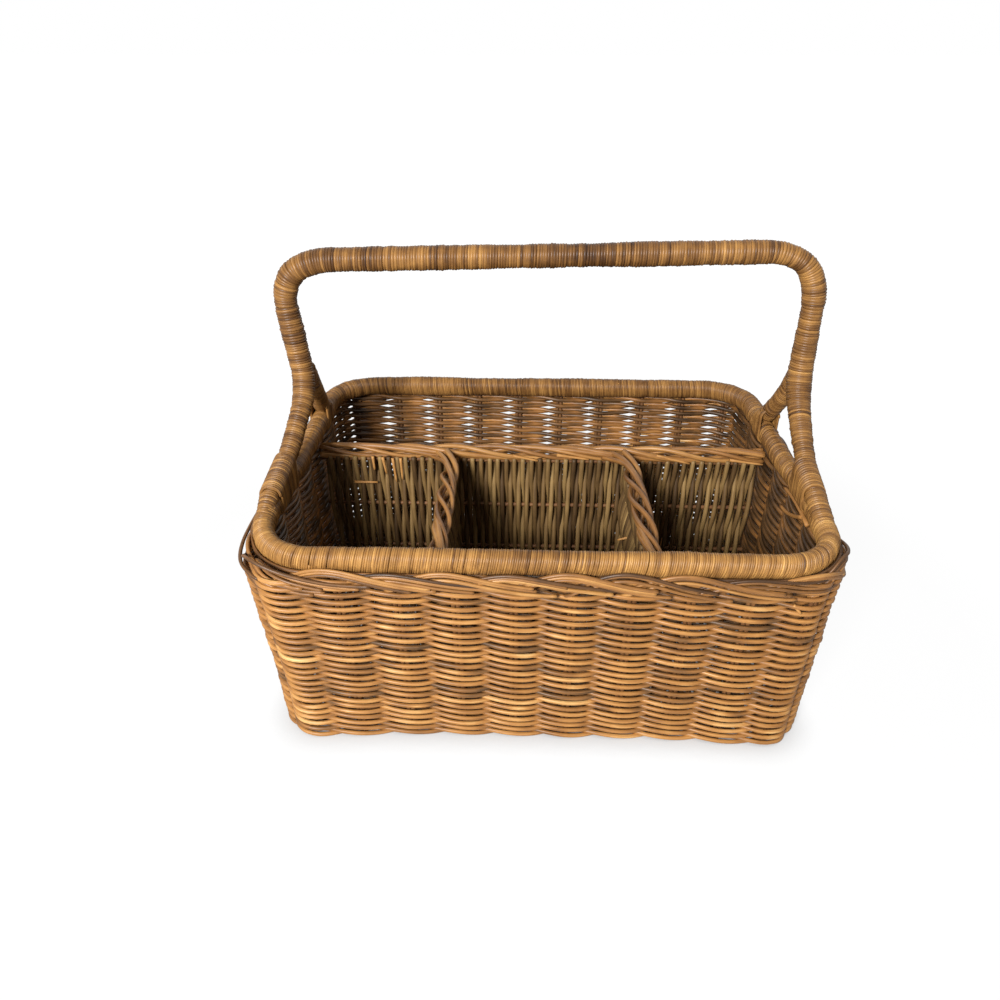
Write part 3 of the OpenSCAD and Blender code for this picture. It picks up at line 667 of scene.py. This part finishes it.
def winding(path, radius, pitch, cane_r, random, tall=1.0, slant=0.0, pale=0.5):
    """Points, tints and thicknesses of one cane wound round a path, whose radius may change on the way."""
    path = np.asarray(path, float)
    travel = np.r_[0, np.cumsum(np.linalg.norm(np.diff(path, axis=0), axis=1))]
    turns = int(travel[-1] / pitch)
    count = turns * TURN_POINTS + 1
    turn = np.arange(count) / TURN_POINTS
    angle = 2 * math.pi * turn
    whole = turn.astype(int)
    uneven = random.normal(0, PITCH_WAVER, turns + 2) * pitch
    s = turn * pitch + np.interp(turn, np.arange(turns + 2), uneven) + slant * np.sin(angle)
    s = np.clip(s, 0, travel[-1])
    heart = np.c_[[np.interp(s, travel, path[:, i]) for i in range(3)]].T
    way = np.gradient(path, axis=0)
    way /= np.linalg.norm(way, axis=1)[:, None]
    side = np.zeros_like(way)
    side[0] = np.cross(way[0], (0.0, 0.0, 1.0))
    for i in range(len(path)):
        side[i] = side[max(i - 1, 0)] - way[i] * (side[max(i - 1, 0)] @ way[i])
        side[i] /= np.linalg.norm(side[i])
    up = np.cross(side, way)
    side, up = (np.c_[[np.interp(s, travel, v[:, i]) for i in range(3)]].T for v in (side, up))
    r = np.interp(s, travel, np.full(len(path), 1.0) * radius) - cane_r
    r = r + np.interp(turn, np.arange(turns + 2), random.normal(0, TURN_WAVER, turns + 2))
    points = heart + (r * np.cos(angle))[:, None] * side
    points += ((r + (tall - 1) * (r + cane_r)) * np.sin(angle))[:, None] * up
    slow = random.normal(0, 1, turns + 2 + SHADE_TURNS)
    slow = np.convolve(slow, np.ones(SHADE_TURNS) / SHADE_TURNS, "valid")[: turns + 2]
    own = random.normal(0, OWN_SHADE, turns + 2)
    tint = np.interp(s, travel, np.full(len(path), 1.0) * pale)
    tint = tint + SHARED_SHADE * slow[whole] + own[whole]
    wide = 1 + random.normal(0, WIDTH_WAVER, turns + 2)[whole]
    return points, tint, wide


RIM_CORNER_R = 0.038
RIM_TALL = 0.95
RIM_PITCH = 0.0013
RIM_CANE_R = 0.00083
RIM_SLANT = 0.0012
RIM_SWELL = 0.0009
RIM_SWELL_POINTS = 15
RIM_INSET = 0.0003
# Along the sides and back the winding gets a lower tint than along the front: painted shade, where the side
# runs are lit at a grazing angle.
FRONT_PALE = 0.45
SIDE_PALE_PAINTED_SHADE = 0.33
FRONT_END_Y = -0.09
STRAIGHT_POINTS = 79
BEND_POINTS = 29
rim_path = []
for wall in range(4):
    run, far = ((rim_half_w, rim_half_d)[(wall + i) % 2] - RIM_CORNER_R for i in (0, 1))
    cos, sin = QUARTER_TURNS[wall]
    bends = [(u, -far - RIM_CORNER_R) for u in np.linspace(-run, run, STRAIGHT_POINTS + 1)[:-1]]
    bends += [
        (run + RIM_CORNER_R * math.sin(a), -far - RIM_CORNER_R * math.cos(a))
        for a in np.linspace(0, math.pi / 2, BEND_POINTS + 1)[:-1]
    ]
    rim_path += [(u * cos - v * sin, u * sin + v * cos, rim_h) for u, v in bends]
rim_path.append(rim_path[0])
rim_path = np.array(rim_path)
LEG_SEATS = {
    -1: ([-0.120, -0.098, -0.080, -0.055, -0.015], [0, 0.0030, 0.0042, 0.0040, 0]),
    1: ([-0.100, -0.080, -0.064, -0.045, -0.005], [0, 0.0026, 0.0042, 0.0040, 0]),
}


def rim_lift(side, y):
    """How far the rim is drawn up where the handle's front leg is bound to it."""
    return np.interp(y, *LEG_SEATS[side])


left_lift, right_lift = (rim_lift(side, rim_path[:, 1]) for side in (-1, 1))
rim_path[:, 2] += np.where(rim_path[:, 0] < 0, left_lift, right_lift)
swell = rim_random.normal(0, 1, len(rim_path) + RIM_SWELL_POINTS - 1)
swell = np.convolve(swell, np.ones(RIM_SWELL_POINTS) / RIM_SWELL_POINTS, "valid")
strands(
    "rim_winding",
    [
        winding(
            rim_path,
            rim_side - RIM_INSET + RIM_SWELL * swell,
            RIM_PITCH,
            RIM_CANE_R,
            rim_random,
            tall=RIM_TALL * rim_rise / rim_side,
            slant=RIM_SLANT,
            pale=np.where(rim_path[:, 1] < FRONT_END_Y, FRONT_PALE, SIDE_PALE_PAINTED_SHADE),
        )
    ],
    RIM_CANE_R,
    cane_finish,
    ["rim_wrap", "rim_corner_wrap"],
    corners=1,
)

# Corner tails
# Round each corner three of the border's tails run close against the rim, high at the side and low at the
# front or back. They are thin round rods of the same stems, held between the rim and the plait below it.
CORNER_TAIL_ENDS = ((4, 46), (20, 56), (36, 66))
CORNER_TAIL_RUN = 20
CORNER_TAIL_SEAT = 0.9
corner_tails = []
points_per_wall = STRAIGHT_POINTS + BEND_POINTS
corner_arc = np.arange(STRAIGHT_POINTS - CORNER_TAIL_RUN, points_per_wall + CORNER_TAIL_RUN)
for wall in range(4):
    arc = np.mod(corner_arc + wall * points_per_wall, 4 * points_per_wall)
    path = rim_path[arc]
    way = np.gradient(path[:, :2], axis=0)
    outward = np.c_[way[:, 1], -way[:, 0]] / np.linalg.norm(way, axis=1)[:, None]
    for from_deg, to_deg in CORNER_TAIL_ENDS:
        fall = np.radians(np.linspace(from_deg, to_deg, len(arc)) + rim_random.normal(0, 3))
        if wall % 2 == 0:
            fall = fall[::-1]
        points = path.copy()
        points[:, :2] += outward * ((rim_side + CORNER_TAIL_SEAT * BORDER_R) * np.cos(fall))[:, None]
        points[:, 2] -= (RIM_TALL * rim_rise + CORNER_TAIL_SEAT * BORDER_R) * np.sin(fall)
        corner_tails.append((points, rim_random.uniform(0.15, 0.45), rim_random.uniform(0.95, 1.2)))
strands("corner_border_tails", corner_tails, BORDER_R, border_finish)

# Handle
# A bent pole bound with cane from one end to the other. Its front ends run down onto the rim and into its
# winding. The binding is rougher than the rim's, with lumps where one cane ends and the next starts.
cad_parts["handle_rod"].data.materials.clear()
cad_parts["handle_rod"].data.materials.append(pole_finish)
handle_random = np.random.default_rng(43)
bow_low, bow_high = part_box("handle_top_wrap")
handle_r = (bow_high.y - bow_low.y) / 2
handle_y = (bow_low.y + bow_high.y) / 2
LEG_R = 0.0073
END_R = 0.0058
SEAT_R = 0.0070
HANDLE_INSET = 0.0004
HANDLE_LUMPS = 0.0016
LUMP_POINTS = 25
BEND_RUN = 0.036
GRIP_MIDDLE_X = 0.030
GRIP_HALF = 0.035
GRIP_LOW_Z = 0.27
PATH_STEP = 0.001


def eased(corners, reach):
    """A path through corner points with every corner rounded over the given length."""
    corners = np.asarray(corners, float)
    travel = np.r_[0, np.cumsum(np.linalg.norm(np.diff(corners, axis=0), axis=1))]
    s = np.arange(0, travel[-1], PATH_STEP)
    dense = np.c_[[np.interp(s, travel, corners[:, i]) for i in range(3)]].T
    half = int(reach / PATH_STEP / 2)
    before = dense[0] - (dense[1] - dense[0]) * np.arange(half, 0, -1)[:, None]
    after = dense[-1] + (dense[-1] - dense[-2]) * np.arange(1, half + 1)[:, None]
    padded = np.r_[before, dense, after]
    window = np.ones(2 * half + 1) / (2 * half + 1)
    return np.c_[[np.convolve(padded[:, i], window, "valid") for i in range(3)]].T


handle_path = eased(
    [
        (-rim_half_w, -0.112, rim_h),
        (-0.1760, -0.100, 0.1575),
        (-0.1765, -0.084, 0.1640),
        (-0.1755, -0.058, 0.1675),
        (-0.1745, -0.040, 0.1695),
        (-0.1685, 0.008, 0.2030),
        (-0.1790, handle_y, 0.2770),
        (-0.1610, handle_y, 0.2915),
        (0.1620, handle_y, 0.2995),
        (0.1795, handle_y, 0.2830),
        (0.1780, 0.008, 0.2060),
        (0.1770, -0.034, 0.1725),
        (0.1765, -0.055, 0.1675),
        (0.1760, -0.070, 0.1625),
        (rim_half_w, -0.085, 0.1570),
        (rim_half_w, -0.108, rim_h),
    ],
    BEND_RUN,
)
run = np.r_[0, np.cumsum(np.linalg.norm(np.diff(handle_path, axis=0), axis=1))]
to_end = np.minimum(run, run[-1] - run)
thick = np.interp(to_end, [0, 0.03, 0.07, 0.13], [END_R, SEAT_R, LEG_R, handle_r])
lumps = handle_random.normal(0, 1, len(run) + LUMP_POINTS - 1)
lumps = np.convolve(lumps, np.ones(LUMP_POINTS) / LUMP_POINTS, "valid")
thick = thick - HANDLE_INSET + HANDLE_LUMPS * lumps
dark_grip = np.exp(-(((handle_path[:, 0] - GRIP_MIDDLE_X) / GRIP_HALF) ** 2))
dark_grip = dark_grip * (handle_path[:, 2] > GRIP_LOW_Z)
paleness = 0.30 + 0.2 * np.clip(handle_path[:, 0], -0.2, 0.2) - 0.13 * dark_grip
HANDLE_PITCH = 0.0018
HANDLE_CANE_R = 0.0013
strands(
    "handle_winding",
    [winding(handle_path, thick, HANDLE_PITCH, HANDLE_CANE_R, handle_random, pale=paleness)],
    HANDLE_CANE_R,
    cane_finish,
    [
        "handle_top_wrap",
        "handle_bend_wraps",
        "handle_upright_wraps",
        "left_front_leg",
        "right_front_leg",
    ],
    corners=1,
)

# Rear legs and lashings
# Behind, a second wrapped rod splits off each end of the handle and comes down behind it onto the rim.
# Turns of the same cane go round leg and rim together and bind them.
leg_random = np.random.default_rng(47)
LEG_BEND_RUN = 0.026
LEG_INSET = 0.0006
LEG_PALE = 0.34
for name, side, x_top, y_rim in (("left", -1, 0.1690, 0.070), ("right", 1, 0.1780, 0.060)):
    leg_path = eased(
        [
            (side * x_top, 0.014, 0.2150),
            (side * x_top, 0.030, 0.1920),
            (side * rim_half_w, y_rim, rim_h + 0.008),
            (side * rim_half_w, y_rim + 0.018, rim_h),
        ],
        LEG_BEND_RUN,
    )
    strands(
        name + "_rear_leg_winding",
        [winding(leg_path, LEG_R - LEG_INSET, HANDLE_PITCH, HANDLE_CANE_R, leg_random, pale=LEG_PALE)],
        HANDLE_CANE_R,
        cane_finish,
        [name + "_rear_leg"],
        corners=1,
    )

LASH_PITCH = 0.0019
LASH_CANE_R = 0.0010
LOOP_POINTS = 28
for name, side, y_from, y_to, z_from, z_to in (
    ("left_front", -1, -0.082, -0.042, 0.0115, 0.0165),
    ("right_front", 1, -0.067, -0.040, 0.0105, 0.0180),
    ("left_rear", -1, 0.056, 0.074, 0.0125, 0.0070),
    ("right_rear", 1, 0.046, 0.064, 0.0135, 0.0070),
):
    turns = int((y_to - y_from) / LASH_PITCH)
    count = turns * LOOP_POINTS + 1
    angle = np.arange(count) * 2 * math.pi / LOOP_POINTS
    y = np.linspace(y_from, y_to, count)
    leg_z = rim_h + np.linspace(z_from, z_to, count)
    rim_z = rim_h + rim_lift(side, y) - (rim_rise - rim_side)
    on_leg = leg_z * np.sin(angle) + LEG_R > rim_z * np.sin(angle) + rim_side
    r = np.where(on_leg, LEG_R, rim_side) - LEG_INSET
    points = np.c_[
        side * rim_half_w + r * np.cos(angle),
        y,
        np.where(on_leg, leg_z, rim_z) + r * np.sin(angle),
    ]
    tint = LEG_PALE + leg_random.normal(0, 0.1, turns + 1)[np.arange(count) // LOOP_POINTS]
    strands(
        name + "_lashing_cane",
        [(points, tint, 1)],
        LASH_CANE_R,
        cane_finish,
        [name + "_lashing"],
        corners=1,
    )

# Studio
# A pale floor without an edge in view, one soft lamp in front on the left, and even white light all round.
# The camera stands where the photograph was taken, looking a little down into the basket.
bpy.ops.mesh.primitive_plane_add(size=30, location=(0, 0, 0))
floor = bpy.context.object
floor.name = "floor"
paper = bpy.data.materials.new("white_paper")
paper.use_nodes = True
paper.node_tree.nodes.clear()
sheet = Socket(paper.node_tree)
PAPER_GREY = (0.55, 0.55, 0.55, 1)
PAPER_GLOW = 1.07
SHADOW_END, WHITE_FROM = 0.35, 0.7
SHADOW_WHITE = 0.88
matt = sheet.add("BsdfDiffuse", {}, {"Color": PAPER_GREY})
glow = sheet.add("Emission", {}, {"Color": (1, 1, 1, 1), "Strength": PAPER_GLOW})
seen = sheet.add("LightPath", out="Is Camera Ray")
spot = sheet.add("TexCoord", out="Object")
far = sheet.add("VectorMath", {"operation": "LENGTH"}, {0: spot}, out="Value")
open_floor = sheet.add(
    "MapRange",
    {},
    {"Value": far, "From Min": SHADOW_END, "From Max": WHITE_FROM, "To Min": SHADOW_WHITE, "To Max": 1.0},
)
# Where ambient occlusion finds the floor covered within 2 cm, the glow goes out and only the lit grey is
# left: painted contact shade round and under the basket.
clear = sheet.add("AmbientOcclusion", {"samples": 8}, {"Distance": 0.02}, out="AO")
lit = sheet.add("MixShader", {}, {0: seen * open_floor * clear, 1: matt, 2: glow})
sheet.add("OutputMaterial", {}, {"Surface": lit})
floor.data.materials.append(paper)

LAMP_WAY = Vector((-1, -2.5, 1.63)).normalized()
LAMP_FAR = 2
lamp = bpy.data.lights.new("key_lamp", "AREA")
lamp.energy = 58
lamp.size = 0.45
key = bpy.data.objects.new("key_lamp", lamp)
key.location = LAMP_FAR * LAMP_WAY
key.rotation_euler = (-LAMP_WAY).to_track_quat("-Z", "Y").to_euler()
bpy.context.scene.collection.objects.link(key)

sky = bpy.data.worlds.new("white_room")
sky.use_nodes = True
sky.node_tree.nodes.clear()
room = Socket(sky.node_tree)
RAYS_IN_WHITE = ("Camera", "Glossy", "Transmission")
rays = [room.add("LightPath", out="Is " + kind + " Ray") for kind in RAYS_IN_WHITE]
ROOM_LIGHT = 0.2
strength = ROOM_LIGHT + (1 - ROOM_LIGHT) * (rays[0] + rays[1] + rays[2])
white = room.add("Background", {}, {"Color": (1, 1, 1, 1), "Strength": strength})
room.add("OutputWorld", {}, {"Surface": white})
bpy.context.scene.world = sky
bpy.context.scene.view_settings.view_transform = "Standard"

view = bpy.data.cameras.new("camera")
view.sensor_width = 36
view.lens = 29.52
camera = bpy.data.objects.new("camera", view)
camera.location = (-0.0144, -0.5354, 0.4264)
camera.rotation_euler = (math.radians(59.98), 0, math.radians(1.70))
bpy.context.scene.collection.objects.link(camera)
bpy.context.scene.camera = camera
